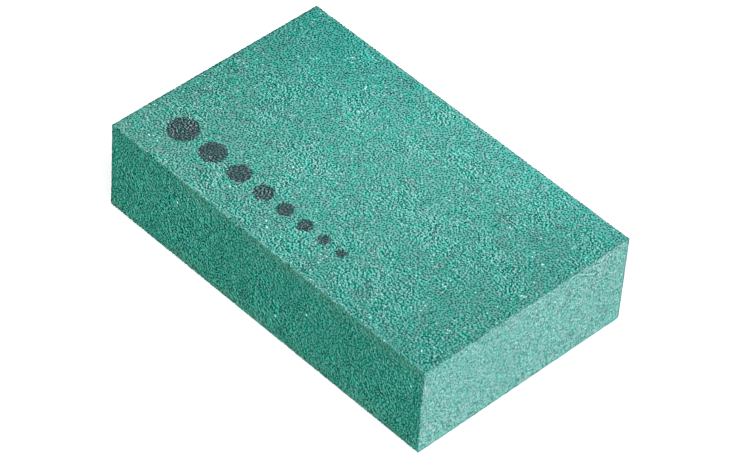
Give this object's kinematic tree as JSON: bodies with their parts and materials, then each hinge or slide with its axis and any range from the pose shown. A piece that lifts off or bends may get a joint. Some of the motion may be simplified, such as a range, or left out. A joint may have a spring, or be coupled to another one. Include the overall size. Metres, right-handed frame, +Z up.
{
  "type": "sanding block",
  "caption": "Rectangular elastic-bonded abrasive hand block with rounded long edges, sawn ends and coarse crystals seated in the bond, for smoothing and deburring by hand.",
  "frame": {"origin": "middle of the underside", "axes": "+X along the block, +Y across it away from the viewer, +Z up through the thickness"},
  "size_m": [0.08, 0.05, 0.02],
  "materials": {
    "bond": "matte, grainy, springy abrasive bond",
    "pressed_grain": "dull crystals coated with bond, a few bright facets",
    "cut_grain": "freshly cut crystals with a pale bloom and sparkling facets"
  },
  "bodies": {
    "root": {"bond_block": "bond", "top_grains": "pressed_grain", "underside_grains": "cut_grain", "front_grains": "pressed_grain", "back_grains": "pressed_grain", "left_end_grains": "cut_grain", "right_end_grains": "cut_grain"}
  },
  "joints": []
}
